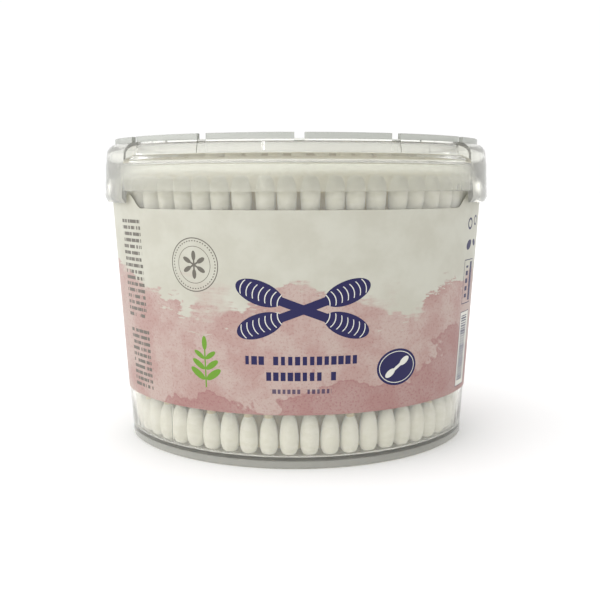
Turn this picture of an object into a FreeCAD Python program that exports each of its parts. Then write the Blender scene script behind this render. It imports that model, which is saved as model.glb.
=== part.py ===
import FreeCAD, Part
import math
import os

# Cotton swab tub: an oval clear tub with a lift-off lid, a wrapped label and a full load of swabs.
# Millimetres. X is the width, Y the depth with the front at -Y, Z is up. The origin is the middle of the base.
Vector = FreeCAD.Vector

# Oval plan at the base: two wide arcs front and back, joined by two tighter arcs at the ends.
baseHalfWidth = 50.0
baseHalfDepth = 41.0
endRadius = 27.0
frontFlats = 20           # the arcs are run in small flats, as many as keep them within a tenth of a millimetre
endFlats = 10
wallAngle = 3.434         # degrees that the wall leans out from upright

# Tub: its height follows from the swabs that stand in it
rimAboveSwabs = 3.15      # the rim stands this far above the tips of the swabs
wallThickness = 1.1
floorThickness = 1.2
footHeight = 1.6          # the floor stands this far above the table
footWidth = 2.4
footEdge = 0.5            # bevel round the bottom edge
rimBevel = 0.35           # bevel inside the rim
cutBeyond = 1.0           # how far a cutting form runs past the face it opens

# Label
labelThickness = 0.15
labelSeat = 0.05          # room between the label and the wall
labelLow = 15.0
labelBelowRim = 11.8
archHeight = 3.6          # the label's top edge rises in an arch at the right-hand end
archWidth = 8.6
archInset = 0.5           # the arch ends this far in from the end of the tub
archSteps = 6
leftRise = 1.5            # and it stands a little higher past the left-hand corner
leftRiseWidth = 2.5
leftRiseInset = 5.6

# Lid: its heights are measured from the rim of the tub
lidWall = 0.9
lidClearance = 0.35       # between the skirt and the rim of the tub
lidSeat = 0.15            # between the lid's ledge and the top of the rim
skirtOverlap = 7.2        # how far the skirt comes down over the wall
skirtFlare = 0.25         # the skirt is this much wider at its lower edge
shoulderRise = 0.7        # the shoulder starts to turn in this far above the rim
shoulderRound = 0.9
ledgeRise = 2.1
crownInset = 2.2          # the crown stands this far in from the skirt
crownTopInset = 0.6       # and its top edge this much further in
crownHeight = 3.8

# Stacking rim on the lid, broken by gaps
rimRise = 1.5
rimWidth = 1.2
rimTopInset = 0.2
gapCount = 12
gapWidth = 2.2
grooveDepth = 0.35        # each gap runs on as a shallow groove down the side of the crown

# Thumb tabs at both ends of the lid: each runs up into a rounded hood over the end of the crown
tabHalfWidth = 23.0
tabProud = 0.2
tabDrop = 3.2             # how far a tab hangs below the skirt
tabBevel = 1.4
hoodRound = 3.4           # height of the hood's rounded top
hoodSteps = 3

# Swabs
swabLength = 74.0
stickRadius = 1.2
headRadius = 2.6
headLength = 14.0
tipRadius = 1.25
bulgeShare = 0.36         # the thickest place of a head, as a share of its length from the tip
swabGap = 0.3             # room between a head and the wall
swabStanding = 0.05       # room between a tip and the floor
outerSwabs = 48
outerSides = 6            # flats round a swab in the outer row
innerSides = 3            # the ones hidden behind it are plainer
rowRoom = 0.1             # between one curved row and the next, and on to the packed middle
innerRoom = 0.25          # between one swab and the next inside
middleGroups = 6          # the straight rows of the middle are shared out between this many nodes

# Derived plan geometry
endCentre = baseHalfWidth - endRadius
frontCentre = (baseHalfWidth - baseHalfDepth) * (baseHalfWidth + baseHalfDepth - 2 * endRadius)
frontCentre = frontCentre / (2 * (baseHalfDepth - endRadius))
frontRadius = frontCentre + baseHalfDepth
frontSpan = math.atan2(endCentre, frontCentre)
endSpan = math.pi / 2 - frontSpan
reach = 2 * baseHalfWidth
wallSlope = math.tan(math.radians(wallAngle))


# How far the wall has leant out at a height.
def wallGrow(height):
    return wallSlope * height


# Derived heights
floorTop = footHeight + floorThickness
tubHeight = floorTop + swabStanding + swabLength + rimAboveSwabs
labelHigh = tubHeight - labelBelowRim
skirtLow = tubHeight - skirtOverlap
tabLow = skirtLow - tabDrop
ledgeHeight = tubHeight + ledgeRise
topHeight = ledgeHeight + crownHeight

# Derived offsets from the base oval
skirtInner = wallGrow(tubHeight) + lidClearance
skirtOuter = skirtInner + lidWall
crownGrow = skirtOuter - crownInset
crownTopGrow = crownGrow - crownTopInset
tabGrow = skirtOuter + tabProud + skirtFlare
hoodGrow = skirtOuter - skirtFlare
labelHalfWidth = baseHalfWidth + wallGrow(labelHigh)
outerInset = wallGrow(floorTop) - wallThickness - swabGap - headRadius
rowStep = 2 * headRadius + rowRoom
innerPitch = 2 * headRadius + innerRoom


def polar(centreX, centreY, radius, angle):
    return centreX + radius * math.cos(angle), centreY + radius * math.sin(angle)


# A closed solid between level rings that all have as many corners, from the lowest ring to the highest.
def ringSolid(rings):
    outlines = [rings[0], rings[-1]]
    for lower, upper in zip(rings, rings[1:]):
        for index in range(len(lower)):
            following = (index + 1) % len(lower)
            outlines.append([lower[index], lower[following], upper[following], upper[index]])
    faces = [Part.Face(Part.makePolygon(outline + outline[:1])) for outline in outlines]
    return Part.Solid(Part.Shell(faces))


# The base oval grown outwards by an even distance, at a height, as corners on its four arcs.
def ovalRing(grow, height):
    big = frontRadius + grow
    small = endRadius + grow
    corners = []
    for turn in (0, math.pi):
        side = math.cos(turn)
        first = turn - math.pi / 2 - frontSpan
        for index in range(frontFlats):
            angle = first + 2 * frontSpan * index / frontFlats
            corners.append(Vector(*polar(0, side * frontCentre, big, angle), height))
        first = turn - endSpan
        for index in range(endFlats):
            angle = first + 2 * endSpan * index / endFlats
            corners.append(Vector(*polar(side * endCentre, 0, small, angle), height))
    return corners


# A solid through a run of ovals, each given as its growth and its height.
def ovalSolid(*levels):
    return ringSolid([ovalRing(grow, height) for grow, height in levels])


# A place on a grown oval, by its share of the way round from the middle of the front, and the outward angle there.
def ovalSpot(grow, share):
    big = frontRadius + grow
    small = endRadius + grow
    frontLength = 2 * frontSpan * big
    halfLoop = frontLength + 2 * endSpan * small
    travel = (share * 2 * halfLoop + frontLength / 2) % (2 * halfLoop)
    turned = travel >= halfLoop
    if turned:
        travel -= halfLoop
    if travel < frontLength:
        angle = -math.pi / 2 - frontSpan + travel / big
        x, y = polar(0, frontCentre, big, angle)
    else:
        angle = -endSpan + (travel - frontLength) / small
        x, y = polar(endCentre, 0, small, angle)
    if turned:
        return -x, -y, angle + math.pi
    return x, y, angle


def ovalLength(grow):
    return 4 * frontSpan * (frontRadius + grow) + 4 * endSpan * (endRadius + grow)


# A box from its middle in X and Y, its lower height and its three sizes, turned about Z.
def turnedBox(x, y, low, sizeX, sizeY, sizeZ, angle):
    box = Part.makeBox(sizeX, sizeY, sizeZ, Vector(-sizeX / 2, -sizeY / 2, low))
    box.rotate(Vector(0, 0, 0), Vector(0, 0, 1), math.degrees(angle))
    box.translate(Vector(x, y, 0))
    return box


# The tub: sloping wall, raised floor on a foot ring, bevelled edges.
def makeTub():
    outside = ovalSolid((-footEdge, 0), (wallGrow(footEdge), footEdge), (wallGrow(tubHeight), tubHeight))
    bevelLow = tubHeight - rimBevel
    bevelHigh = tubHeight + cutBeyond
    hollow = ovalSolid(
        (wallGrow(floorTop) - wallThickness, floorTop),
        (wallGrow(bevelLow) - wallThickness, bevelLow),
        (wallGrow(bevelLow) - wallThickness + bevelHigh - bevelLow, bevelHigh),
    )
    recess = ovalSolid((-footWidth, -cutBeyond), (-footWidth, footHeight))
    return outside.cut(hollow).cut(recess)


# The label's outline seen from the front: a band whose top edge arches up at the right and steps up at the left.
def labelFront():
    spots = [(-reach, labelLow), (reach, labelLow), (reach, labelHigh)]
    archFar = labelHalfWidth - archInset
    for index in range(archSteps + 1):
        share = index / archSteps
        spots.append((archFar - archWidth * share, labelHigh + archHeight * math.sin(math.pi * share)))
    riseFar = labelHalfWidth - leftRiseInset
    spots.append((leftRiseWidth - riseFar, labelHigh))
    spots.append((-riseFar, labelHigh + leftRise))
    spots.append((-reach, labelHigh + leftRise))
    corners = [Vector(x, 0, z) for x, z in spots]
    return Part.Face(Part.makePolygon(corners + corners[:1])).extrude(Vector(0, -reach, 0))


# The label: a thin skin round the wall, cut to its outline in front and level at the back.
def makeLabel():
    inner = labelSeat
    outer = labelSeat + labelThickness
    top = labelHigh + archHeight + cutBeyond
    coreLow = labelLow - cutBeyond
    coreTop = top + cutBeyond
    skin = ovalSolid((wallGrow(labelLow) + outer, labelLow), (wallGrow(top) + outer, top))
    core = ovalSolid((wallGrow(coreLow) + inner, coreLow), (wallGrow(coreTop) + inner, coreTop))
    skin = skin.cut(core)
    back = Part.makeBox(2 * reach, reach, labelHigh - labelLow, Vector(-reach, 0, labelLow))
    return skin.common(labelFront()).fuse(skin.common(back)).removeSplitter()


# The lid: skirt, rounded shoulder, ledge, grooved crown, broken stacking rim, thumb tabs with hoods at the ends.
def makeLid():
    shoulderLow = tubHeight + shoulderRise
    outside = ovalSolid(
        (skirtOuter + skirtFlare, skirtLow),
        (skirtOuter, shoulderLow),
        (skirtOuter - shoulderRound, shoulderLow + shoulderRound),
        (crownGrow, ledgeHeight),
        (crownTopGrow, topHeight),
    )
    seat = tubHeight + lidSeat
    flareBelow = skirtFlare * (seat - tabLow + cutBeyond) / (seat - skirtLow)
    skirtRoom = ovalSolid((skirtInner + flareBelow, tabLow - cutBeyond), (skirtInner, seat))
    crownRoom = ovalSolid((crownGrow - lidWall, seat - cutBeyond), (crownTopGrow - lidWall, topHeight - lidWall))
    body = outside.cut(makeGrooves()).fuse(makeStackingRim())
    for side in (1, -1):
        body = body.fuse(makeTab(side))
    body = body.cut(skirtRoom).cut(crownRoom)
    for side in (1, -1):
        body = body.cut(makeHoodRoom(side))
    return body.removeSplitter()


def makeStackingRim():
    high = topHeight + rimRise
    ring = ovalSolid((crownTopGrow, topHeight - lidWall / 2), (crownTopGrow - rimTopInset, high))
    well = ovalSolid((crownTopGrow - rimWidth, topHeight), (crownTopGrow - rimWidth, high + cutBeyond))
    ring = ring.cut(well)
    for index in range(gapCount):
        x, y, angle = ovalSpot(crownTopGrow - rimWidth / 2, index / gapCount)
        ring = ring.cut(turnedBox(x, y, topHeight, rimWidth * 3, gapWidth, rimRise + cutBeyond, angle))
    return ring


# Shallow upright grooves in the side of the crown, one under each gap.
def makeGrooves():
    grooves = []
    length = 2 * crownTopInset + 2 * grooveDepth
    for index in range(gapCount):
        x, y, angle = ovalSpot(crownTopGrow - grooveDepth + length / 2, index / gapCount)
        grooves.append(turnedBox(x, y, ledgeHeight, length, gapWidth, crownHeight + cutBeyond, angle))
    return Part.makeCompound(grooves)


# The part of a solid that lies over one end of the lid, up to a half width on either side.
def endPart(solid, halfWidth, side):
    window = Part.makeBox(reach, 2 * halfWidth, tubHeight, Vector(endCentre, -halfWidth, tabLow))
    if side < 0:
        window = window.mirror(Vector(0, 0, 0), Vector(1, 0, 0))
    return solid.common(window)


# The quarter round of a hood, set in by a wall, from its upright side to its top.
def hoodLevels(inset):
    levels = []
    for index in range(hoodSteps + 1):
        turn = math.pi / 2 * index / hoodSteps
        grow = crownTopGrow + (hoodGrow - crownTopGrow) * math.cos(turn) - inset
        levels.append((grow, topHeight - hoodRound + (hoodRound - inset) * math.sin(turn)))
    return levels


# A tab hangs below the skirt with a bevelled lower edge, and runs up into the hood.
def makeTab(side):
    pad = ovalSolid((tabGrow - tabBevel / 2, tabLow), (tabGrow, tabLow + tabBevel), *hoodLevels(0))
    return endPart(pad, tabHalfWidth, side)


# The room inside a hood, a wall's thickness in from its outside.
def makeHoodRoom(side):
    seat = tubHeight + lidSeat
    room = ovalSolid((skirtInner, seat - cutBeyond), (skirtInner, seat), *hoodLevels(lidWall))
    return endPart(room, tabHalfWidth - lidWall, side)


# One swab standing on its tip at the origin: a wound cotton head at each end of a stick.
def makeSwab(sides):
    bulge = headLength * bulgeShare
    levels = [
        (tipRadius, 0),
        (headRadius, bulge),
        (stickRadius, headLength),
        (stickRadius, swabLength - headLength),
        (headRadius, swabLength - bulge),
        (tipRadius, swabLength),
    ]
    rings = []
    for radius, height in levels:
        spots = [polar(0, 0, radius, 2 * math.pi * index / sides) for index in range(sides)]
        rings.append([Vector(x, y, height) for x, y in spots])
    return ringSolid(rings)


# How far the oval has to grow to pass through a place. It is negative inside.
def growAt(x, y):
    if math.atan2(abs(y), abs(x) - endCentre) < endSpan:
        return math.hypot(abs(x) - endCentre, y) - endRadius
    return math.hypot(x, abs(y) + frontCentre) - frontRadius


# A swab with its lower tip at a place on the floor, one flat turned to an angle, leaning by a slope along X and along Y.
def standSwab(swab, x, y, angle, leanX, leanY):
    lean = math.hypot(leanX, leanY)
    tilt = math.atan(lean)
    placed = swab.copy()
    placed.rotate(Vector(0, 0, 0), Vector(0, 0, 1), math.degrees(angle))
    if lean:
        placed.rotate(Vector(0, 0, 0), Vector(-leanY, leanX, 0), math.degrees(tilt))
    placed.translate(Vector(x, y, floorTop + swabStanding + tipRadius * math.sin(tilt)))
    return placed


# An inner swab leans less the nearer it stands to the middle.
def standInner(swab, x, y, angle):
    lean = wallSlope / baseHalfDepth
    return standSwab(swab, x, y, angle, lean * x, lean * y)


# The outer row, leaning out with the wall.
def makeOuterRow():
    swab = makeSwab(outerSides)
    row = []
    for index in range(outerSwabs):
        x, y, angle = ovalSpot(outerInset, (index + 0.5) / outerSwabs)
        row.append(standSwab(swab, x, y, angle, wallSlope * math.cos(angle), wallSlope * math.sin(angle)))
    return row


def makeSecondRow():
    swab = makeSwab(innerSides)
    inset = outerInset - rowStep
    count = int(ovalLength(inset) / innerPitch)
    return [standInner(swab, *ovalSpot(inset, index / count)) for index in range(count)]


# The middle is packed in straight rows along X, each row shifted by half a step against the next.
def makeMiddleRows():
    swab = makeSwab(innerSides)
    depthStep = innerPitch * math.sqrt(3) / 2
    limit = outerInset - 2 * rowStep
    halfRows = int((baseHalfDepth + limit) / depthStep)
    halfCount = int((baseHalfWidth + limit) / innerPitch) + 1
    rows = []
    for line in range(-halfRows, halfRows + 1):
        shift = 0.5 * (line % 2)
        spots = [((index + shift) * innerPitch, line * depthStep) for index in range(-halfCount, halfCount + 1)]
        rows.append([standInner(swab, x, y, 0) for x, y in spots if growAt(x, y) <= limit])
    return [row for row in rows if row]


def save(shape, name):
    shape.exportStep(os.path.join("parts", name + ".step"))


os.makedirs("parts", exist_ok=True)
save(makeTub(), "tub")
save(makeLabel(), "label")
save(makeLid(), "lid")

for number, swab in enumerate(makeOuterRow(), 1):
    save(swab, f"swab_{number:02d}")
save(Part.makeCompound(makeSecondRow()), "swabs_second_row")
middleRows = makeMiddleRows()
for group in range(middleGroups):
    first = group * len(middleRows) // middleGroups
    last = (group + 1) * len(middleRows) // middleGroups
    swabs = [swab for row in middleRows[first:last] for swab in row]
    save(Part.makeCompound(swabs), f"swabs_middle_{group + 1}")
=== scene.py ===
import math
import random
import bmesh
import bpy
from mathutils import Matrix, Vector


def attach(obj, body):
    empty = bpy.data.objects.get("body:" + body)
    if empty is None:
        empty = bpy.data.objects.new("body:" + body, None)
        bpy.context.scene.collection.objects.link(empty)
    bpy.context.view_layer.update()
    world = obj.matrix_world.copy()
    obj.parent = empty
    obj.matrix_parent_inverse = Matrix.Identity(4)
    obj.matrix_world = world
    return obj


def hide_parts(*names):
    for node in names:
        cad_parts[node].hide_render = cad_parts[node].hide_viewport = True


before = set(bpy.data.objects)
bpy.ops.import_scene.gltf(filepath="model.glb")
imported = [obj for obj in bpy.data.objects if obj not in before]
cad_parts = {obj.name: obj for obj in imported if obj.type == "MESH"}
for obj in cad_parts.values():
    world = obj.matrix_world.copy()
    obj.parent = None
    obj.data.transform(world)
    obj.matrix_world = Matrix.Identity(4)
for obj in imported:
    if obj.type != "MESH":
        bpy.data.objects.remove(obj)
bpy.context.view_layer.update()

mm = 0.001

# The tub's plan in millimetres: two wide arcs front and back, two tighter ones at the ends.
plan = {"halfWidth": 50.0, "halfDepth": 41.0, "endRadius": 27.0, "wallLean": 0.06}
endCentre = plan["halfWidth"] - plan["endRadius"]
frontCentre = (plan["halfWidth"] - plan["halfDepth"]) * (
    plan["halfWidth"] + plan["halfDepth"] - 2 * plan["endRadius"]) / (
    2 * (plan["halfDepth"] - plan["endRadius"]))
frontRadius = frontCentre + plan["halfDepth"]
frontSpan = math.atan2(endCentre, frontCentre)
endSpan = math.pi / 2 - frontSpan
nearMiddle = -22  # a spun solid's profile starts and ends at this growth
labelGrow = 2.5  # the wall's growth at the middle of the label's height
weldDistance = 0.00001


def wallAt(height):
    return plan["wallLean"] * height


def ovalSpot(grow, share):
    # place on the grown oval and the outward angle there, by share of the way round from the front's middle
    big = frontRadius + grow
    small = plan["endRadius"] + grow
    halfLoop = 2 * frontSpan * big + 2 * endSpan * small
    travel = (share * 2 * halfLoop + frontSpan * big) % (2 * halfLoop)
    side = 1
    if travel >= halfLoop:
        travel -= halfLoop
        side = -1
    if travel < 2 * frontSpan * big:
        angle = -math.pi / 2 - frontSpan + travel / big
        x, y = big * math.cos(angle), frontCentre + big * math.sin(angle)
    else:
        angle = -endSpan + (travel - 2 * frontSpan * big) / small
        x, y = endCentre + small * math.cos(angle), small * math.sin(angle)
    if side < 0:
        return -x, -y, angle + math.pi
    return x, y, angle


def ovalLength(grow):
    return 4 * frontSpan * (frontRadius + grow) + 4 * endSpan * (plan["endRadius"] + grow)


def growAt(x, y):
    # how far the oval has to grow to pass through a place
    if math.atan2(abs(y), abs(x) - endCentre) < endSpan:
        return math.hypot(abs(x) - endCentre, y) - plan["endRadius"]
    return math.hypot(x, abs(y) + frontCentre) - frontRadius


def alongFront(x, y):
    # distance round the wall from the front's middle, right positive, at the middle of the label's height
    big = frontRadius + labelGrow
    small = plan["endRadius"] + labelGrow
    side = 1 if x >= 0 else -1
    if math.atan2(abs(y), abs(x) - endCentre) < endSpan:
        reach = frontSpan * big + (endSpan + math.atan2(y, abs(x) - endCentre)) * small
    elif y < 0:
        reach = math.atan2(abs(x), abs(y) + frontCentre) * big
    else:
        reach = 2 * (frontSpan * big + endSpan * small) - math.atan2(abs(x), abs(y) + frontCentre) * big
    return side * reach


def openPiece(name):
    # a new mesh of one vertex at the world's origin, in edit mode
    if bpy.context.object and bpy.context.object.mode == "EDIT":
        bpy.ops.object.mode_set(mode="OBJECT")
    bpy.ops.object.select_all(action="DESELECT")
    bpy.ops.mesh.primitive_plane_add(size=mm)
    piece = bpy.context.object
    piece.name = name
    piece.data.name = name
    bpy.ops.object.mode_set(mode="EDIT")
    bpy.ops.mesh.select_mode(type="VERT")
    bpy.ops.mesh.select_all(action="SELECT")
    bpy.ops.mesh.merge(type="CENTER")
    return piece


def drawLine(points, closed=False):
    # extrudes the one vertex from point to point, and leaves the whole line selected
    bpy.ops.transform.translate(value=Vector(points[0]) * mm)
    for here, there in zip(points, points[1:]):
        step = (Vector(there) - Vector(here)) * mm
        bpy.ops.mesh.extrude_region_move(TRANSFORM_OT_translate={"value": step})
    if closed:
        step = (Vector(points[0]) - Vector(points[-1])) * mm
        bpy.ops.mesh.extrude_region_move(TRANSFORM_OT_translate={"value": step})
    bpy.ops.mesh.select_all(action="SELECT")


def pick(piece, kind, test):
    # selects the faces or vertices whose middle passes a test, given in millimetres with the normal
    bpy.ops.mesh.select_mode(type=kind)
    bpy.ops.mesh.select_all(action="DESELECT")
    mesh = bmesh.from_edit_mesh(piece.data)
    for item in mesh.verts if kind == "VERT" else mesh.faces:
        middle = item.co if kind == "VERT" else item.calc_center_median()
        if test(middle / mm, item.normal):
            item.select_set(True)
    mesh.select_flush_mode()
    bmesh.update_edit_mesh(piece.data)


def spinOval(profile, frontSteps, endSteps, closed=False):
    # draws a profile of (growth, height) at the front's left-hand corner and spins it round the four arcs
    corner = -math.pi / 2 - frontSpan
    points = []
    for grow, height in profile:
        radius = frontRadius + grow
        points.append((radius * math.cos(corner), frontCentre + radius * math.sin(corner), height))
    drawLine(points, closed)
    arcs = [(0, frontCentre, frontSpan, frontSteps), (endCentre, 0, endSpan, endSteps),
            (0, -frontCentre, frontSpan, frontSteps), (-endCentre, 0, endSpan, endSteps)]
    for x, y, span, steps in arcs:
        bpy.ops.mesh.spin(steps=steps, angle=-2 * span, center=(x * mm, y * mm, 0), axis=(0, 0, 1))
    bpy.ops.mesh.select_all(action="SELECT")
    bpy.ops.mesh.remove_doubles(threshold=weldDistance)


def closeEnds():
    bpy.ops.mesh.select_all(action="SELECT")
    bpy.ops.mesh.fill_holes(sides=0)
    bpy.ops.mesh.select_all(action="SELECT")
    bpy.ops.mesh.normals_make_consistent(inside=False)


def finishPiece(piece, body, material, node, smoothAngle=40):
    if piece.mode == "EDIT":
        bpy.ops.object.mode_set(mode="OBJECT")
    bpy.ops.object.select_all(action="DESELECT")
    piece.select_set(True)
    bpy.context.view_layer.objects.active = piece
    bpy.ops.object.shade_smooth_by_angle(angle=math.radians(smoothAngle))
    piece.data.materials.clear()
    piece.data.materials.append(material)
    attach(piece, body)
    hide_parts(node)


class Tree:
    # the nodes of a new material, or of a world that is handed in
    def __init__(self, name, world=None):
        owner = world or bpy.data.materials.new(name)
        owner.use_nodes = True
        self.owner = owner
        self.nodes = owner.node_tree.nodes
        self.links = owner.node_tree.links
        self.nodes.clear()
        self.output = self.nodes.new("ShaderNodeOutputWorld" if world else "ShaderNodeOutputMaterial")

    def add(self, kind, settings=None, inputs=None):
        node = self.nodes.new(kind)
        for name, value in (settings or {}).items():
            setattr(node, name, value)
        for name, value in (inputs or {}).items():
            socket = node.inputs[name]
            if isinstance(value, Wire):
                self.links.new(value.socket, socket)
            elif isinstance(value, bpy.types.NodeSocket):
                self.links.new(value, socket)
            else:
                socket.default_value = value
        return node

    def wire(self, socket):
        return Wire(self, socket)

    def mixColour(self, factor, first, second):
        node = self.add("ShaderNodeMix", {"data_type": "RGBA"}, {0: factor, 6: first, 7: second})
        return node.outputs[2]

    def noise(self, vector, scale, detail=2.0, rough=0.5, warp=0.0):
        node = self.add("ShaderNodeTexNoise", {}, {
            "Vector": vector, "Scale": scale, "Detail": detail, "Roughness": rough, "Distortion": warp})
        return Wire(self, node.outputs[0])

    def surface(self, shader):
        self.links.new(shader, self.output.inputs["Surface"])
        return self.owner


class Wire:
    def __init__(self, tree, socket):
        self.tree = tree
        self.socket = socket

    def maths(self, operation, *values):
        node = self.tree.add("ShaderNodeMath", {"operation": operation}, dict(enumerate(values)))
        return Wire(self.tree, node.outputs[0])

    def __add__(self, other): return self.maths("ADD", self, other)
    def __radd__(self, other): return self.maths("ADD", other, self)
    def __sub__(self, other): return self.maths("SUBTRACT", self, other)
    def __rsub__(self, other): return self.maths("SUBTRACT", other, self)
    def __mul__(self, other): return self.maths("MULTIPLY", self, other)
    def __rmul__(self, other): return self.maths("MULTIPLY", other, self)
    def __truediv__(self, other): return self.maths("DIVIDE", self, other)
    def __pow__(self, other): return self.maths("POWER", self, other)
    def __lt__(self, other): return self.maths("LESS_THAN", self, other)
    def __gt__(self, other): return self.maths("GREATER_THAN", self, other)
    def __abs__(self): return self.maths("ABSOLUTE", self)
    def floor(self): return self.maths("FLOOR", self)
    def wrap(self, length): return self.maths("WRAP", self, length, 0.0)
    def either(self, other): return self.maths("MAXIMUM", self, other)

    def ramp(self, low, high, bottom=0.0, top=1.0):
        # smooth step from one value to the other
        node = self.tree.add("ShaderNodeMapRange", {"interpolation_type": "SMOOTHSTEP"}, {
            0: self, 1: low, 2: high, 3: bottom, 4: top})
        return Wire(self.tree, node.outputs[0])


def hexColour(text):
    # screen colour to the linear values that Blender's sockets hold
    values = [int(text[place:place + 2], 16) / 255 for place in (0, 2, 4)]
    linear = [value / 12.92 if value <= 0.04045 else ((value + 0.055) / 1.055) ** 2.4 for value in values]
    return linear + [1]


# The camera, at the photograph's viewing angle; lengths in millimetres, angles in radians.
cameraPlace = {"pixelsAcross": 600, "focalPixels": 850.0, "distance": 257.1, "height": 74.5,
               "sideways": 0.95, "pitch": 0.1349, "orbit": 0.02, "roll": -0.0013}
cameraData = bpy.data.cameras.new("camera")
cameraData.sensor_width = 36
cameraData.lens = 36 * cameraPlace["focalPixels"] / cameraPlace["pixelsAcross"]
cameraData.clip_start = 0.01
camera = bpy.data.objects.new("camera", cameraData)
bpy.context.scene.collection.objects.link(camera)
cameraSpot = Vector((cameraPlace["sideways"], -cameraPlace["distance"], cameraPlace["height"])) * mm
camera.matrix_world = (
    Matrix.Rotation(-cameraPlace["orbit"], 4, "Z")
    @ Matrix.Translation(cameraSpot)
    @ Matrix.Rotation(math.pi / 2 - cameraPlace["pitch"], 4, "X")
    @ Matrix.Rotation(cameraPlace["roll"], 4, "Z"))
bpy.context.scene.camera = camera
print("camera placed")


# Clear plastic of the tub and the lid. Heights and places are in millimetres.
# the grey coat keys paint shade on the tub's foot and on the lid's stacking rim
tubLook = {"tint": "f9f9f4", "through": "e2e1dc", "index": 1.46, "clear": 0.93, "rough": 0.02,
           "cloudiness": 0.03, "paintedShadeCoat": 0.6, "paintedShadeGreyTint": "9e9e98", "paintedShadeCoatBelow": 2.5,
           "lineX": -34.5, "lineTop": 17.0}
lidLook = {"tint": "fafaf5", "through": "c8c7c0", "index": 1.46, "clear": 0.9, "rough": 0.02,
           "cloudiness": 0.03, "paintedShadeCoat": 0.6, "paintedShadeGreyTint": "a3a6a0", "paintedShadeCoatAbove": 85.7,
           "hazeRough": 0.065, "hazeLow": 69.0, "hazeHigh": 80.5,
           "ringX": 42.7, "ringHeight": 73.6, "ringRadius": 0.8}
plasticGrain = {"cloudScale": 60.0, "flowScale": 420.0, "flowStretch": 0.12, "flowRelief": 0.25,
                "lineWidth": 0.25, "lineFade": 4, "lineRelief": 0.6, "ringWidth": 0.3, "ringRelief": 2.0,
                "bump": 0.25, "bumpDepth": 0.0004, "frostRough": 0.35}


def clearPlastic(name, look):
    # moulded plastic that light goes through; a haze makes a band of heights cloudier
    grain = plasticGrain
    tree = Tree(name)
    spot = tree.add("ShaderNodeTexCoord").outputs["Object"]
    parts = tree.add("ShaderNodeSeparateXYZ", {}, {0: spot})
    x, y, height = [tree.wire(parts.outputs[index]) / mm for index in range(3)]
    cloud = tree.noise(spot, grain["cloudScale"], 3.0)
    drawn = tree.add("ShaderNodeMapping", {}, {"Vector": spot, "Scale": (1, 1, grain["flowStretch"])})
    flow = tree.noise(drawn.outputs[0], grain["flowScale"], 2.0)
    rough = cloud * look["cloudiness"] + look["rough"]
    relief = flow * grain["flowRelief"]
    front = y < 0
    if "hazeRough" in look:
        upper = height.ramp(look["hazeHigh"] + 1.0, look["hazeHigh"])
        lower = height.ramp(look["hazeLow"] - 1.0, look["hazeLow"])
        rough = rough + upper * lower * look["hazeRough"]
    if "lineX" in look:
        # a fine upright mark of the mould on the front, near the base
        fade = height.ramp(look["lineTop"], look["lineTop"] - grain["lineFade"])
        line = abs(x - look["lineX"]).ramp(grain["lineWidth"], 0.0)
        relief = relief + line * fade * front * grain["lineRelief"]
    if "ringX" in look:
        # a small ring of the mould on the front of the skirt
        across = x - look["ringX"]
        up = height - look["ringHeight"]
        ring = abs((across * across + up * up) ** 0.5 - look["ringRadius"]).ramp(grain["ringWidth"], 0.0)
        relief = relief + ring * front * grain["ringRelief"]
    dent = tree.add("ShaderNodeBump", {}, {
        "Strength": grain["bump"], "Distance": grain["bumpDepth"], "Height": relief})
    clear = tree.add("ShaderNodeBsdfPrincipled", {}, {
        "Base Color": hexColour(look["tint"]), "Roughness": rough, "IOR": look["index"],
        "Transmission Weight": look["clear"], "Normal": dent.outputs[0]})
    # the thin foot and stacking rim get a rough grey coat: painted shade in the place of the grey that the
    # clear plastic shows there
    if "paintedShadeCoatAbove" in look:
        paintedShadeCoatBand = height.ramp(look["paintedShadeCoatAbove"], look["paintedShadeCoatAbove"] + 0.3)
    else:
        paintedShadeCoatBand = height.ramp(look["paintedShadeCoatBelow"], look["paintedShadeCoatBelow"] - 0.4)
    paintedShadeCoat = tree.add("ShaderNodeBsdfPrincipled", {}, {
        "Base Color": hexColour(look["paintedShadeGreyTint"]), "Roughness": grain["frostRough"],
        "Normal": dent.outputs[0]})
    body = tree.add("ShaderNodeMixShader", {}, {
        0: paintedShadeCoatBand * look["paintedShadeCoat"], 1: clear.outputs[0], 2: paintedShadeCoat.outputs[0]})
    # the room's light goes straight through to what stands inside
    path = tree.add("ShaderNodeLightPath")
    shadow = tree.wire(path.outputs["Is Shadow Ray"])
    passing = shadow.either(tree.wire(path.outputs["Is Diffuse Ray"]))
    through = tree.add("ShaderNodeBsdfTransparent", {}, {"Color": hexColour(look["through"])})
    both = tree.add("ShaderNodeMixShader", {}, {0: passing, 1: body.outputs[0], 2: through.outputs[0]})
    return tree.surface(both.outputs[0])


tubPlastic = clearPlastic("tubPlastic", tubLook)
lidPlastic = clearPlastic("lidPlastic", lidLook)
print("clear plastic ready")


tubSizes = {"height": 80.0, "wall": 1.1, "floorTop": 2.8, "floorUnder": 1.6, "footWidth": 2.4,
            "floorCorner": 1.4, "cornerSteps": 4, "wallHeights": (15, 35, 55, 70),
            "frontSteps": 60, "endSteps": 28}


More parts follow.
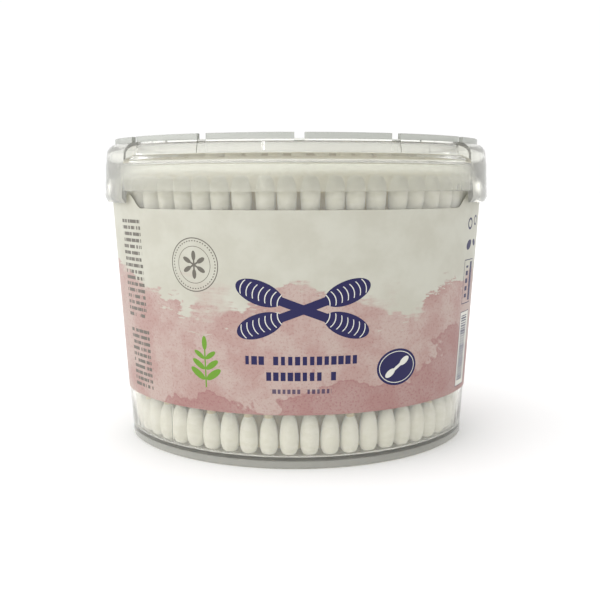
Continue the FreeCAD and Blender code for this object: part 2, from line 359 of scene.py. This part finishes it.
def makeTub():
    sizes = tubSizes
    wall, high = sizes["wall"], sizes["height"]
    floorTop, floorUnder = sizes["floorTop"], sizes["floorUnder"]
    foot = -sizes["footWidth"]
    # the underside, the foot ring and its rounded outer edge
    profile = [(nearMiddle, floorUnder), (foot - 0.5, floorUnder), (foot - 0.1, 1.45), (foot, 1.1),
               (foot, 0.25), (foot + 0.25, 0), (-0.75, 0), (-0.4, 0.08), (-0.15, 0.28),
               (wallAt(0.6), 0.6), (wallAt(3), 3)]
    profile += [(wallAt(height), height) for height in sizes["wallHeights"]]
    # the rounded rim
    rim = wallAt(high)
    profile += [(rim, high - 0.35), (rim - 0.1, high - 0.1), (rim - 0.35, high), (rim - 0.75, high),
                (rim - 1.0, high - 0.12), (rim - wall, high - 0.4)]
    profile += [(wallAt(height) - wall, height) for height in reversed(sizes["wallHeights"])]
    # the rounded inner corner and the floor
    inside = wallAt(floorTop) - wall
    corner = sizes["floorCorner"]
    for step in range(sizes["cornerSteps"] + 1):
        turn = math.pi / 2 * step / sizes["cornerSteps"]
        profile.append((inside - corner + corner * math.cos(turn) + 0.04,
                        floorTop + corner - corner * math.sin(turn)))
    profile.append((nearMiddle, floorTop))
    piece = openPiece("tubShell")
    spinOval(profile, sizes["frontSteps"], sizes["endSteps"])
    closeEnds()
    finishPiece(piece, "tub", tubPlastic, "tub")


makeTub()
print("tub modelled")


lidSizes = {"wall": 0.9, "skirtOuter": 6.05, "skirtInner": 5.15, "skirtLow": 72.8, "flare": 0.25,
            "seat": 80.15, "ledge": 82.1, "crown": 3.85, "crownTop": 3.25, "top": 85.9,
            "rimRise": 1.5, "rimWidth": 1.2, "gapCount": 12, "gapWidth": 2.2, "gapMargin": 0.3,
            "groove": 0.3, "tabHalf": 23.0, "tabGrow": 6.5, "tabLow": 69.6, "tabBevel": 1.4,
            "hoodGrow": 5.8, "hoodRound": 3.4, "hoodSteps": 8, "sliver": 0.000001,
            "frontSteps": 96, "endSteps": 36}


def nearGap(spot):
    # true where a place lies in one of the gaps of the stacking rim
    for index in range(lidSizes["gapCount"]):
        x, y, _ = ovalSpot(lidSizes["crownTop"], index / lidSizes["gapCount"])
        if math.hypot(spot.x - x, spot.y - y) < lidSizes["gapWidth"] / 2 + lidSizes["gapMargin"]:
            return True
    return False


def solidOval(name, profile):
    # a closed solid from a profile that starts and ends near the middle
    piece = openPiece(name)
    spinOval(profile, lidSizes["frontSteps"], lidSizes["endSteps"])
    closeEnds()
    return piece


def hoodProfile(inset):
    # a quarter round from the hood's upright side to its top
    sizes = lidSizes
    points = []
    for step in range(sizes["hoodSteps"] + 1):
        turn = math.pi / 2 * step / sizes["hoodSteps"]
        grow = sizes["crownTop"] + (sizes["hoodGrow"] - sizes["crownTop"]) * math.cos(turn) - inset
        points.append((grow, sizes["top"] - sizes["hoodRound"] + (sizes["hoodRound"] - inset) * math.sin(turn)))
    return points


def cutEnds(piece, half):
    # keeps what lies over the two ends of the lid
    for side in (1, -1):
        bpy.ops.mesh.select_all(action="SELECT")
        bpy.ops.mesh.bisect(plane_co=(0, side * half * mm, 0), plane_no=(0, side, 0), use_fill=True,
                            clear_outer=True)
    bpy.ops.mesh.select_all(action="SELECT")
    bpy.ops.mesh.normals_make_consistent(inside=False)
    bpy.ops.object.mode_set(mode="OBJECT")


def combine(piece, other, operation):
    if other.mode == "EDIT":
        bpy.ops.object.mode_set(mode="OBJECT")
    bpy.ops.object.select_all(action="DESELECT")
    bpy.context.view_layer.objects.active = piece
    piece.select_set(True)
    joining = piece.modifiers.new("joining", "BOOLEAN")
    joining.operation = operation
    joining.solver = "EXACT"
    joining.object = other
    bpy.ops.object.modifier_apply(modifier="joining")
    bpy.data.objects.remove(other)


def makeLid():
    sizes = lidSizes
    wall = sizes["wall"]
    outer, inner, flare = sizes["skirtOuter"], sizes["skirtInner"], sizes["flare"]
    low, seat, ledge, top = sizes["skirtLow"], sizes["seat"], sizes["ledge"], sizes["top"]
    crown, crownTop = sizes["crown"], sizes["crownTop"]
    # the outside: skirt, rounded shoulder, ledge, crown
    profile = [(nearMiddle, low), (outer + flare - 0.12, low), (outer + flare, low + 0.12),
               (outer + flare * 0.5, (low + ledge) / 2 - 1), (outer, ledge - 1.6),
               (outer - 0.17, ledge - 1.05), (outer - 0.5, ledge - 0.68), (outer - 0.95, ledge - 0.42),
               (crown + 0.45, ledge), (crown + 0.15, ledge + 0.12), (crown, ledge + 0.4),
               (crown - 0.08, ledge + 0.9), (crownTop + 0.12, top - 0.8), (crownTop, top),
               (crownTop - sizes["rimWidth"], top), (nearMiddle, top)]
    piece = solidOval("lidShell", profile)
    # the stacking rim, raised all round but for the gaps
    bandMiddle = crownTop - sizes["rimWidth"] / 2
    pick(piece, "FACE", lambda spot, normal: normal.z > 0.9 and abs(spot.z - top) < 0.1
         and abs(growAt(spot.x, spot.y) - bandMiddle) < 0.4 and not nearGap(spot))
    bpy.ops.mesh.extrude_region_move(TRANSFORM_OT_translate={"value": (0, 0, sizes["rimRise"] * mm)})
    # a shallow groove down the crown under each gap
    pick(piece, "FACE", lambda spot, normal: abs(normal.z) < 0.5 and ledge + 0.3 < spot.z < top - 0.05
         and growAt(spot.x, spot.y) > crownTop - 0.3 and nearGap(spot))
    bpy.ops.mesh.extrude_region_shrink_fatten(TRANSFORM_OT_shrink_fatten={"value": -sizes["groove"] * mm})
    bpy.ops.object.mode_set(mode="OBJECT")
    # thumb tabs that run up into hoods over both ends
    tabs = solidOval("tabs", [
        (nearMiddle, sizes["tabLow"]), (sizes["tabGrow"] - sizes["tabBevel"] / 2, sizes["tabLow"]),
        (sizes["tabGrow"], sizes["tabLow"] + sizes["tabBevel"])] + hoodProfile(0) + [(nearMiddle, top)])
    cutEnds(tabs, sizes["tabHalf"])
    combine(piece, tabs, "UNION")
    # one room inside, from below the skirt up into the crown and both hoods
    below = sizes["tabLow"] - 1
    flareBelow = flare * (seat - below) / (seat - low)
    room = solidOval("room", [
        (nearMiddle, below), (inner + flareBelow, below), (inner, seat - 0.3), (inner - 0.3, seat),
        (crown - wall, seat), (crownTop - wall, top - wall - 0.4),
        (crownTop - wall - 0.4, top - wall), (nearMiddle, top - wall)])
    hoodRoom = solidOval("hoodRoom", [(nearMiddle, seat - 1), (inner - 0.05, seat - 1)]
                         + hoodProfile(wall) + [(nearMiddle, top - wall - 0.02)])
    cutEnds(hoodRoom, sizes["tabHalf"] - wall)
    combine(room, hoodRoom, "UNION")
    combine(piece, room, "DIFFERENCE")
    # the cuts leave a few slivers, which are merged away
    bpy.ops.object.mode_set(mode="EDIT")
    bpy.ops.mesh.select_all(action="SELECT")
    bpy.ops.mesh.remove_doubles(threshold=sizes["sliver"])
    bpy.ops.mesh.dissolve_degenerate(threshold=sizes["sliver"])
    finishPiece(piece, "lid", lidPlastic, "lid", 50)


makeLid()
print("lid modelled")


swabSizes = {"length": 74.0, "head": 2.6, "gap": 0.3, "standing": 0.05, "tipEdge": 1.25,
             "outerCount": 48, "rowRoom": 0.1, "innerRoom": 0.25, "middleGroups": 6,
             "sway": 0.006, "lift": 0.05, "hollowInset": 0.3, "hollow": 0.25, "narrowest": 0.7,
             # half of a head's outline from the tip, as (radius, height)
             "outline": ((0.75, 0.0), (1.25, 0.12), (1.75, 0.5), (2.1, 1.1), (2.35, 2.0), (2.52, 3.2),
                         (2.6, 4.6), (2.57, 6.0), (2.46, 7.6), (2.28, 9.2), (2.02, 10.6), (1.7, 11.7),
                         (1.36, 12.5), (1.2, 13.0)),
             "coarse": (0, 2, 4, 6, 9, 13),
             # stretch and plumpness of the lower and the upper head of each kind of swab
             "heads": (((0.9, 1.0), (0.97, 0.99)), ((0.8, 0.98), (1.02, 1.0)), ((0.97, 0.99), (0.93, 0.97)),
                       ((0.74, 0.96), (0.98, 1.0)), ((0.86, 1.0), (1.04, 0.98)))}
# the inner colours are painted shade: the swabs deep inside get a warmer, darker copy of the cotton for the
# shade among the rows
cottonLook = {"light": "fdfcf7", "shade": "f5f4eb", "innerLightPaintedShade": "faf5e2", "innerDarkPaintedShade": "f4ecd2",
              "innerWarmPaintedShade": "ecdcae", "paintedWarmShadeBelow": 72.4, "paintedWarmShadeShare": 0.75, "clumpScale": 380.0,
              "fibreScale": 2600.0, "stretch": 2.2, "bump": 0.55, "bumpDepth": 0.0005,
              "stick": "eedfb8", "stickGrain": "e8dcc0"}


def cottonMaterial(name, light, shade, paintedWarmShade=None):
    look = cottonLook
    tree = Tree(name)
    spot = tree.add("ShaderNodeTexCoord").outputs["Object"]
    stretched = tree.add("ShaderNodeMapping", {}, {"Vector": spot, "Scale": (1, 1, look["stretch"])})
    clumps = tree.noise(stretched.outputs[0], look["clumpScale"], 3.0, 0.6)
    fibres = tree.noise(stretched.outputs[0], look["fibreScale"], 3.0, 0.7, 0.6)
    colour = tree.mixColour(clumps.ramp(0.35, 0.65), hexColour(shade), hexColour(light))
    if paintedWarmShade:
        # painted shade: warmer and darker low down, where the rows close up below the heads and shade falls
        # among them
        height = tree.wire(tree.add("ShaderNodeSeparateXYZ", {}, {0: spot}).outputs[2]) / mm
        below = height.ramp(look["paintedWarmShadeBelow"] + 1.0, look["paintedWarmShadeBelow"])
        colour = tree.mixColour(below * look["paintedWarmShadeShare"], colour, hexColour(paintedWarmShade))
    fuzz = tree.add("ShaderNodeBump", {}, {
        "Strength": look["bump"], "Distance": look["bumpDepth"], "Height": clumps * 0.7 + fibres * 0.45})
    shader = tree.add("ShaderNodeBsdfPrincipled", {}, {
        "Base Color": colour, "Roughness": 0.95, "Specular IOR Level": 0.15, "Sheen Weight": 0.35,
        "Sheen Roughness": 0.6, "Normal": fuzz.outputs[0]})
    return tree.surface(shader.outputs[0])


def stickMaterial():
    tree = Tree("paperStick")
    spot = tree.add("ShaderNodeTexCoord").outputs["Object"]
    drawn = tree.add("ShaderNodeMapping", {}, {"Vector": spot, "Scale": (1, 1, 0.1)})
    grain = tree.noise(drawn.outputs[0], 2200.0, 2.0)
    colour = tree.mixColour(grain, hexColour(cottonLook["stickGrain"]), hexColour(cottonLook["stick"]))
    shader = tree.add("ShaderNodeBsdfPrincipled", {}, {"Base Color": colour, "Roughness": 0.55})
    return tree.surface(shader.outputs[0])


cotton = cottonMaterial("woundCotton", cottonLook["light"], cottonLook["shade"])
# the swabs inside get a shaded copy of the cotton, which is painted shade
innerCottonPaintedShade = cottonMaterial("woundCottonInsidePaintedShade", cottonLook["innerLightPaintedShade"], cottonLook["innerDarkPaintedShade"],
                             cottonLook["innerWarmPaintedShade"])
paperStick = stickMaterial()


def headProfile(fine, stretch=1.0, plump=1.0):
    outline = swabSizes["outline"]
    if not fine:
        outline = [outline[index] for index in swabSizes["coarse"]]
    points = []
    for radius, height in outline:
        if height < outline[-1][1]:
            radius = max(radius * plump, swabSizes["narrowest"])
        points.append((radius, height * stretch))
    return points


def modelSwab(name, sides, fine, lower=(1.0, 1.0), upper=(1.0, 1.0)):
    # a lathe form: the outline is spun once round; each head has its own stretch and plumpness
    points = [(radius, 0, height) for radius, height in headProfile(fine, *lower)]
    points += [(radius, 0, swabSizes["length"] - height)
               for radius, height in reversed(headProfile(fine, *upper))]
    piece = openPiece(name)
    drawLine(points)
    bpy.ops.mesh.spin(steps=sides, angle=2 * math.pi, center=(0, 0, 0), axis=(0, 0, 1), use_auto_merge=True)
    bpy.ops.mesh.select_all(action="SELECT")
    bpy.ops.mesh.remove_doubles(threshold=2 * weldDistance)
    closeEnds()
    if fine:
        # a small hollow in each tip, as wound cotton has
        pick(piece, "FACE", lambda spot, normal: abs(normal.z) > 0.99 and math.hypot(spot.x, spot.y) < 0.3)
        bpy.ops.mesh.inset(thickness=swabSizes["hollowInset"] * mm)
        depth = swabSizes["hollow"] * mm
        for low in (True, False):
            pick(piece, "FACE", lambda spot, normal: abs(normal.z) > 0.99
                 and math.hypot(spot.x, spot.y) < 0.2 and (spot.z < 1) == low)
            bpy.ops.transform.translate(value=(0, 0, depth if low else -depth))
    bpy.ops.object.mode_set(mode="OBJECT")
    piece.data.materials.append(cotton if fine else innerCottonPaintedShade)
    piece.data.materials.append(paperStick)
    middle = max(piece.data.polygons, key=lambda face: face.area).center.z
    for face in piece.data.polygons:
        if abs(face.center.z - middle) < 5 * mm:
            face.material_index = 1
    bpy.ops.object.shade_smooth_by_angle(angle=math.radians(60))
    return piece


def standAt(x, y, spin, leanX, leanY, lift=0.0):
    # where a swab with its lower tip at the origin goes
    lean = math.atan(math.hypot(leanX, leanY))
    turn = Matrix.Rotation(spin, 4, "Z")
    if lean:
        turn = Matrix.Rotation(lean, 4, Vector((-leanY, leanX, 0))) @ turn
    height = tubSizes["floorTop"] + swabSizes["standing"] + swabSizes["tipEdge"] * math.sin(lean) + lift
    return Matrix.Translation(Vector((x, y, height)) * mm) @ turn


def copyTo(model, name, places):
    # one piece that holds a copy of the model at each place
    copies = []
    for place in places:
        copy = model.copy()
        copy.data = model.data.copy()
        copy.data.transform(place)
        bpy.context.scene.collection.objects.link(copy)
        copies.append(copy)
    bpy.ops.object.select_all(action="DESELECT")
    for copy in copies:
        copy.select_set(True)
    bpy.context.view_layer.objects.active = copies[0]
    if len(copies) > 1:
        bpy.ops.object.join()
    copies[0].name = name
    copies[0].data.name = name
    return copies[0]


def rideSwabs(piece, node):
    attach(piece, "tub")
    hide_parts(node)


def makeSwabs():
    random.seed(7)
    lean = plan["wallLean"]
    outerInset = wallAt(tubSizes["floorTop"]) - tubSizes["wall"] - swabSizes["gap"] - swabSizes["head"]
    outerModels = [modelSwab(f"outerSwabModel{index}", 16, True, lower, upper)
                   for index, (lower, upper) in enumerate(swabSizes["heads"])]
    for index in range(swabSizes["outerCount"]):
        x, y, angle = ovalSpot(outerInset, (index + 0.5) / swabSizes["outerCount"])
        sway = random.uniform(-swabSizes["sway"], swabSizes["sway"])
        place = standAt(x, y, random.uniform(0, 6), lean * math.cos(angle) - sway * math.sin(angle),
                        lean * math.sin(angle) + sway * math.cos(angle), random.uniform(0, swabSizes["lift"]))
        model = random.choice(outerModels)
        rideSwabs(copyTo(model, f"outerSwab{index + 1:02d}", [place]), f"swab_{index + 1:02d}")
    innerModel = modelSwab("innerSwabModel", 8, False)
    innerLean = lean / plan["halfDepth"]
    rowStep = 2 * swabSizes["head"] + swabSizes["rowRoom"]
    pitch = 2 * swabSizes["head"] + swabSizes["innerRoom"]
    inset = outerInset - rowStep
    count = int(ovalLength(inset) / pitch)
    places = []
    for index in range(count):
        x, y, angle = ovalSpot(inset, index / count)
        places.append(standAt(x, y, angle, innerLean * x, innerLean * y))
    rideSwabs(copyTo(innerModel, "secondRow", places), "swabs_second_row")
    depthStep = pitch * math.sqrt(3) / 2
    limit = outerInset - 2 * rowStep
    halfRows = int((plan["halfDepth"] + limit) / depthStep)
    halfCount = int((plan["halfWidth"] + limit) / pitch) + 1
    rows = []
    for line in range(-halfRows, halfRows + 1):
        shift = 0.5 * (line % 2)
        spots = [((index + shift) * pitch, line * depthStep) for index in range(-halfCount, halfCount + 1)]
        rows.append([standAt(x, y, 0, innerLean * x, innerLean * y)
                     for x, y in spots if growAt(x, y) <= limit])
    rows = [row for row in rows if row]
    groups = swabSizes["middleGroups"]
    for group in range(groups):
        part = rows[group * len(rows) // groups:(group + 1) * len(rows) // groups]
        piece = copyTo(innerModel, f"middleSwabs{group + 1}", [place for row in part for place in row])
        rideSwabs(piece, f"swabs_middle_{group + 1}")
    for model in outerModels + [innerModel]:
        bpy.data.objects.remove(model)


makeSwabs()
print("swabs placed")


labelSizes = {"low": 15.0, "high": 68.2, "seat": 0.05, "film": 0.15, "archHeight": 3.8,
              "archNear": {1: 43.4, -1: 42.4}, "archRamp": 3.6, "archFar": 54.25, "archFall": 1.1,
              "frontSteps": 120, "endSteps": 56}
printColours = {"cream": "b0aea1", "paleCream": "b7b6aa", "pink": "ad9a92", "deepPink": "a48881",
                "rose": "8c5c5b", "navy": "120d44", "grey": "605c54", "green": "5f8a22", "white": "cccbc2"}
# Places on the label in millimetres, along it from the front's middle and up from the base.
printPlan = {"swabsAt": (1.0, 43.0), "badgeAt": (27.5, 26.5), "sealAt": (-28.0, 54.0),
             "sprigAt": (-26.0, 27.0), "panelAt": (58.6, 47.0), "stripesAt": (58.6, 27.4),
             # bars: middle, half width, half height, pitch, seed
             "bars": ((0.4, 29.6, 15.0, 1.15, 1.9, 3.0), (0.4, 25.4, 9.2, 1.15, 1.9, 8.0)),
             "fineBars": (0.4, 21.4, 8.0, 0.6, 1.3, 5.0),
             "smallPrint": ((-52.5, 51.5, 5.2, 14.0, 1.75, 3.0), (-52.0, 26.0, 5.2, 8.6, 1.75, 9.0)),
             "leaves": ((-3.4, 1.0), (-0.6, 0.85), (2.2, 0.7))}
washLook = {"edgeAt": 47.0, "edgeSwing": 46, "edgeRagged": 5, "edgeStreaks": 9, "crisp": 0.5, "soft": 9.0,
            "patchAt": 20.5, "patchSlope": 0.2, "patchSwing": 46, "patchRagged": 5,
            "rough": 0.42, "grainRough": 0.08, "bump": 0.12, "bumpDepth": 0.0003}


def printShapes(tree, u, v):
    # flat shapes of the print as masks, u and v in millimetres along and up the label
    def box(x, y, halfWide, halfHigh):
        return (abs(u - x) < halfWide) * (abs(v - y) < halfHigh)

    def frameBox(x, y, halfWide, halfHigh, line):
        return box(x, y, halfWide, halfHigh) * (1 - box(x, y, halfWide - line, halfHigh - line))

    def oval(x, y, halfLong, halfWide, turn=0.0):
        cosine, sine = math.cos(turn), math.sin(turn)
        along = ((u - x) * cosine + (v - y) * sine) * (1 / halfLong)
        off = ((v - y) * cosine - (u - x) * sine) * (1 / halfWide)
        return (along * along + off * off) < 1

    def ring(x, y, radius, line):
        return oval(x, y, radius, radius) * (1 - oval(x, y, radius - line, radius - line))

    def dottedRing(x, y, radius, line, count):
        up = v - y
        angle = up.maths("ARCTAN2", up, u - x)
        return ring(x, y, radius, line) * ((angle * (count / (2 * math.pi))).wrap(1.0) < 0.5)

    def swabIcon(x, y, half, turn, stick, headLong, headWide):
        # a swab, and the pale winding lines across its heads
        cosine, sine = math.cos(turn), math.sin(turn)
        along = (u - x) * cosine + (v - y) * sine
        off = (v - y) * cosine - (u - x) * sine
        far = (abs(along) - (half - headLong)) * (1 / headLong)
        side = off * (1 / headWide)
        heads = (far * far + side * side) < 1
        lines = ((abs(along) + off * off * 0.16).wrap(1.7) < 0.26) * heads * (abs(off) < headWide * 0.62)
        return heads.either((abs(off) < stick) * (abs(along) < half - headLong)), lines

    def uprightBars(x, y, halfWide, halfHigh, pitch, seed):
        # a row of small upright strokes of uneven width, with gaps
        column = ((u - x) * (1 / pitch)).floor()
        chance = tree.add("ShaderNodeTexWhiteNoise", {"noise_dimensions": "2D"}, {
            "Vector": tree.add("ShaderNodeCombineXYZ", {}, {0: column, 1: seed, 2: 0.0}).outputs[0]})
        chance = tree.wire(chance.outputs["Value"])
        inside = abs((u - x) - (column + 0.5) * pitch) < (chance * 0.2 + 0.22) * pitch
        return box(x, y, halfWide, halfHigh) * inside * (chance > 0.12)

    def levelBars(pitch):
        # level bars of uneven thickness, one above another
        row = (v * (1 / pitch)).floor()
        chance = tree.add("ShaderNodeTexWhiteNoise", {"noise_dimensions": "1D"}, {"W": row})
        chance = tree.wire(chance.outputs["Value"])
        return abs(v - (row + 0.5) * pitch) < (chance * 0.3 + 0.14) * pitch

    def smallPrint(x, y, halfWide, halfHigh, pitch, seed):
        # rows of short bars in the place of small print
        row = ((v - y) * (1 / pitch)).floor()
        inRow = abs((v - y) - (row + 0.5) * pitch) < pitch * 0.27
        spot = tree.add("ShaderNodeCombineXYZ", {}, {0: u * 1.3, 1: row * 3.7 + seed, 2: 0.0})
        return box(x, y, halfWide, halfHigh) * inRow * (tree.noise(spot.outputs[0], 1.0, 2.0) > 0.44)

    x, y = printPlan["swabsAt"]
    rising, risingLines = swabIcon(x, y, 18.5, 0.36, 1.15, 6.4, 3.1)
    falling, fallingLines = swabIcon(x, y, 18.5, -0.36, 1.15, 6.4, 3.1)
    navy = rising.either(falling)
    for bars in printPlan["bars"]:
        navy = navy.either(uprightBars(*bars))
    navy = navy.either(uprightBars(*printPlan["fineBars"]) * 0.8)
    # an oval badge with a rim and a swab
    x, y = printPlan["badgeAt"]
    navy = navy.either(oval(x, y, 6.4, 5.0))
    badgeSwab = swabIcon(x, y, 4.4, 0.6, 0.4, 1.7, 0.9)[0]
    badgeRim = oval(x, y, 5.7, 4.35) * (1 - oval(x, y, 5.5, 4.15))
    white = badgeSwab.either(badgeRim).either(risingLines).either(fallingLines)
    # a seal: two rings, a dotted ring and three little swabs
    x, y = printPlan["sealAt"]
    grey = ring(x, y, 7.1, 0.28).either(dottedRing(x, y, 6.4, 0.3, 48)).either(ring(x, y, 4.9, 0.16))
    for turn in (0.0, math.pi / 3, -math.pi / 3):
        grey = grey.either(swabIcon(x, y, 3.7, turn + math.pi / 2, 0.24, 1.3, 0.62)[0])
    for block in printPlan["smallPrint"]:
        grey = grey.either(smallPrint(*block))
    # a sprig of leaves
    x, y = printPlan["sprigAt"]
    green = box(x, y, 0.22, 5.6).either(oval(x, y + 6.4, 1.9, 0.75, math.pi / 2))
    for level, size in printPlan["leaves"]:
        for side in (1, -1):
            green = green.either(oval(x + side * 2.4 * size, y + level + 1.4 * size,
                                      2.6 * size, 0.95 * size, side * 0.6))
    # small marks past the right-hand corner
    navy = navy.either(ring(57.0, 63.6, 1.7, 0.6)).either(ring(61.6, 64.4, 1.5, 0.5))
    navy = navy.either(oval(57.2, 57.6, 1.9, 1.3, 0.5)).either(oval(61.8, 58.0, 1.5, 0.9, -0.4))
    x, y = printPlan["panelAt"]
    navy = navy.either(frameBox(x, y, 3.6, 6.4, 0.25)).either(box(x + 2.0, y, 0.9, 5.6))
    navy = navy.either(box(x - 1.2, y, 0.9, 4.6) * ((v - 0.4).wrap(2.2) < 1.3))
    # a pale box with level stripes
    x, y = printPlan["stripesAt"]
    paleBox = box(x, y, 3.6, 11.0)
    stripes = levelBars(0.75) * box(x - 0.4, y + 0.2, 2.2, 9.6)
    navy = navy.either(frameBox(x, y, 3.6, 11.0, 0.2)).either(stripes)
    # each mask with its ink, in the order of printing
    return ((paleBox, "white"), (green, "green"), (navy, "navy"), (grey, "grey"), (white, "white"))


def labelMaterial():
    # watercolour wash under the printed shapes
    look = washLook
    ink = {name: hexColour(code) for name, code in printColours.items()}
    tree = Tree("printedFilm")
    uv = tree.add("ShaderNodeSeparateXYZ", {}, {0: tree.add("ShaderNodeUVMap", {"uv_map": "print"}).outputs[0]})
    u = tree.wire(uv.outputs[0]) * 100
    v = tree.wire(uv.outputs[1]) * 100
    spot = tree.add("ShaderNodeCombineXYZ", {}, {0: u, 1: v, 2: 0.0}).outputs[0]
    brushed = tree.add("ShaderNodeMapping", {}, {
        "Vector": spot, "Rotation": (0, 0, -0.45), "Scale": (0.16, 1.0, 1)})
    broad = tree.noise(spot, 0.038, 4.0, 0.5)
    ragged = tree.noise(spot, 0.33, 6.0, 0.62, 0.4)
    streak = tree.noise(brushed.outputs[0], 0.9, 4.0, 0.6)
    blend = tree.noise(spot, 0.05, 2.0)
    grain = tree.noise(spot, 1.4, 4.0, 0.8)
    cloud = tree.noise(spot, 0.09, 4.0, 0.6)
    drift = tree.noise(spot, 0.045, 4.0, 0.55, 0.3)
    # how far above the wash's edge a place is; the edge is crisp in some places and soft in others
    edge = v - look["edgeAt"] - (broad - 0.5) * look["edgeSwing"]
    edge = edge - (ragged - 0.5) * look["edgeRagged"] - (streak - 0.5) * look["edgeStreaks"]
    wash = (edge / blend.ramp(0.46, 0.62, look["crisp"], look["soft"])).ramp(0.6, -0.6)
    edgeLine = abs(edge + 0.7).ramp(1.0, 0.0) * blend.ramp(0.5, 0.42)
    strokes = (streak > 0.6) * (abs(edge + 2.0) < 4.5) * blend.ramp(0.5, 0.44)
    # the deeper patches climb towards the right of the front, and not round the back
    climb = u * look["patchSlope"] * abs(u).ramp(100.0, 50.0)
    patch = v - look["patchAt"] - climb - (ragged - 0.5) * look["patchRagged"]
    patch = patch - (drift - 0.5) * look["patchSwing"]
    deep = patch.ramp(0.5, -0.4)
    patchLine = abs(patch + 0.5).ramp(0.9, 0.0)
    speckle = grain.ramp(0.5, 0.66)
    cream = tree.mixColour(cloud.ramp(0.35, 0.65), ink["cream"], ink["paleCream"])
    pink = tree.mixColour(cloud.ramp(0.4, 0.62), ink["pink"], ink["deepPink"])
    pink = tree.mixColour(speckle * (cloud * 0.8 + 0.12), pink, ink["rose"])
    pink = tree.mixColour(deep * (0.36 + ragged * 0.2 + speckle * 0.3), pink, ink["rose"])
    pink = tree.mixColour(patchLine * 0.3, pink, ink["rose"])
    colour = tree.mixColour(wash * (1 - strokes * 0.85), cream, pink)
    colour = tree.mixColour(edgeLine * 0.22, colour, ink["rose"])
    for mask, name in printShapes(tree, u, v):
        colour = tree.mixColour(mask, colour, ink[name])
    ripple = tree.add("ShaderNodeBump", {}, {
        "Strength": look["bump"], "Distance": look["bumpDepth"], "Height": broad + grain * 0.05})
    shader = tree.add("ShaderNodeBsdfPrincipled", {}, {
        "Base Color": colour, "Roughness": look["rough"] + grain * look["grainRough"],
        "Specular IOR Level": 0.35, "Normal": ripple.outputs[0]})
    return tree.surface(shader.outputs[0])


def smoothStep(share):
    share = min(1, max(0, share))
    return share * share * (3 - 2 * share)


def makeLabel():
    sizes = labelSizes
    inner, outer = sizes["seat"], sizes["seat"] + sizes["film"]
    profile = [(wallAt(height) + outer, height) for height in (sizes["low"], 28, 42, 56, sizes["high"])]
    profile += [(wallAt(height) + inner, height) for height in (sizes["high"], 56, 42, 28, sizes["low"])]
    piece = openPiece("labelFilm")
    spinOval(profile, sizes["frontSteps"], sizes["endSteps"], closed=True)
    bpy.ops.mesh.select_all(action="SELECT")
    bpy.ops.mesh.normals_make_consistent(inside=False)
    # the top edge arches up at both ends
    mesh = bmesh.from_edit_mesh(piece.data)
    for corner in mesh.verts:
        spot = corner.co / mm
        if spot.z < sizes["high"] - 0.1 or spot.y > 0:
            continue
        climb = (abs(spot.x) - sizes["archNear"][1 if spot.x > 0 else -1]) / sizes["archRamp"]
        fall = (sizes["archFar"] - abs(spot.x)) / sizes["archFall"]
        rise = sizes["archHeight"] * smoothStep(climb) * smoothStep(fall)
        if rise:
            swell = 1 + plan["wallLean"] * rise / math.hypot(spot.x, spot.y)
            corner.co = Vector((spot.x * swell, spot.y * swell, spot.z + rise)) * mm
    bmesh.update_edit_mesh(piece.data)
    bpy.ops.object.mode_set(mode="OBJECT")
    layer = piece.data.uv_layers.new(name="print")
    for face in piece.data.polygons:
        middle = face.center / mm
        side = alongFront(middle.x, middle.y)
        for loop in face.loop_indices:
            spot = piece.data.vertices[piece.data.loops[loop].vertex_index].co / mm
            across = alongFront(spot.x, spot.y)
            if side * across < 0 and abs(side) > 100:
                across = -across
            layer.data[loop].uv = (across / 100, spot.z / 100)
    finishPiece(piece, "tub", labelMaterial(), "label")


makeLabel()
print("label wrapped")


def floorMaterial():
    tree = Tree("paleFloor")
    spot = tree.add("ShaderNodeTexCoord").outputs["Object"]
    colour = tree.mixColour(tree.noise(spot, 3.0, 2.0), hexColour("fafafa"), hexColour("ffffff"))
    shader = tree.add("ShaderNodeBsdfPrincipled", {}, {
        "Base Color": colour, "Roughness": 0.9, "Specular IOR Level": 0.1})
    return tree.surface(shader.outputs[0])


bpy.ops.object.select_all(action="DESELECT")
bpy.ops.mesh.primitive_circle_add(vertices=64, radius=6, fill_type="NGON", location=(0, 0, 0))
floor = bpy.context.object
floor.name = "floor"
floor.data.materials.append(floorMaterial())

# Small lamps for the glints, in metres and watts; the room gives the rest of the light.
lampPlan = {
    "leftSide": {"place": (-1.05, 0.37, 0.42), "size": 0.1, "power": 0.3},
    "nearFront": {"place": (-0.38, -1.05, 0.5), "size": 0.05, "power": 0.06},
    "rightSide": {"place": (1.08, 0.22, 0.42), "size": 0.1, "power": 0.3},
}
lampHeightShare = 0.6
for name, lamp in lampPlan.items():
    bpy.ops.object.light_add(type="AREA", location=lamp["place"])
    light = bpy.context.object
    light.name = name
    light.data.shape = "ELLIPSE"
    light.data.size = lamp["size"]
    light.data.size_y = lamp["size"] * lampHeightShare
    light.data.energy = lamp["power"]
    aim = Vector((0, 0, 0.05)) - Vector(lamp["place"])
    light.rotation_euler = aim.to_track_quat("-Z", "Y").to_euler()

roomLook = {"base": 1.02, "key": 1.25, "keyFrom": (-0.9, -0.48, 0.12), "keyEdge": 0.2}


def makeRoom():
    # an even white room with a wide soft key from the front, left of the camera
    world = bpy.data.worlds.new("softRoom")
    bpy.context.scene.world = world
    tree = Tree("softRoom", world)
    towards = tree.add("ShaderNodeVectorMath", {"operation": "DOT_PRODUCT"}, {
        0: tree.add("ShaderNodeTexCoord").outputs["Generated"], 1: Vector(roomLook["keyFrom"]).normalized()})
    key = tree.wire(towards.outputs["Value"]).ramp(roomLook["keyEdge"], 1.0) * roomLook["key"]
    background = tree.add("ShaderNodeBackground", {}, {
        "Color": (1, 1, 1, 1), "Strength": key + roomLook["base"]})
    tree.surface(background.outputs[0])


makeRoom()
bpy.context.scene.view_settings.view_transform = "Standard"
print("floor and lights set")
